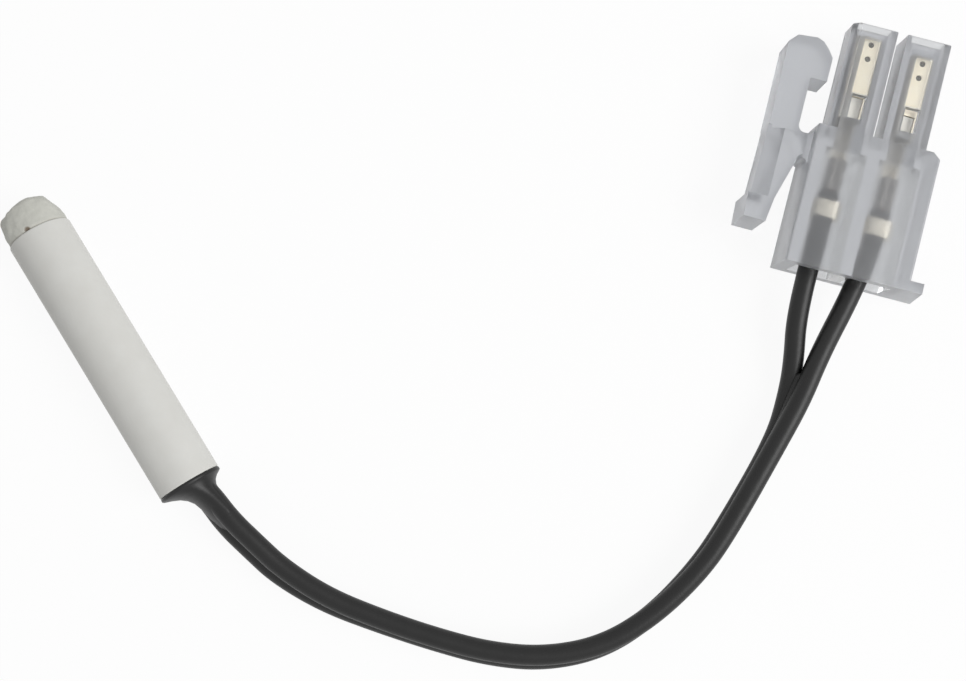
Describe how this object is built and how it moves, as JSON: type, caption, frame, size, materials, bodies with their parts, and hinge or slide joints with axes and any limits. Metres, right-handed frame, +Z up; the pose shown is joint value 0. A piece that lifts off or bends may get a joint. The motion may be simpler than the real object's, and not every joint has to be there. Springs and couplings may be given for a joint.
{
  "type": "thermistor",
  "caption": "White tube sensor probe with a sealed tip, a black boot and twin lead, and a translucent two-way latching connector housing.",
  "frame": {"origin": "the floor below the middle of the sensor tube with its tip, as the probe lies", "axes": "+X along the sensor tube from its sealed tip to the boot, +Y to the side that the lead curves to, +Z up"},
  "size_m": [0.0535, 0.0702, 0.0054],
  "materials": {
    "probe_tube": "satin white",
    "tip_plug": "matt cast compound",
    "strain_boot": "satin black",
    "lead_jacket": "satin black",
    "copper": "bare copper",
    "connector_housing": "milky natural nylon",
    "terminal_metal": "tin plated",
    "thermistor_bead": "glass-coated bead",
    "tinned_wire": "tinned wire",
    "sleeving": "polyimide sleeve",
    "splice_metal": "tin plated",
    "potting_fill": "cast resin"
  },
  "bodies": {
    "root": {"probe_tube": "probe_tube", "tip_plug": "tip_plug", "strain_boot": "strain_boot", "lead_jacket": "lead_jacket", "conductor_1": "copper", "conductor_2": "copper", "connector_housing": "connector_housing", "terminal_1": "terminal_metal", "terminal_2": "terminal_metal", "thermistor_bead": "thermistor_bead", "bead_lead_1": "tinned_wire", "bead_lead_2": "tinned_wire", "lead_sleeving_1": "sleeving", "lead_sleeving_2": "sleeving", "splice_1": "splice_metal", "splice_2": "splice_metal", "potting_fill": "potting_fill"}
  },
  "joints": []
}
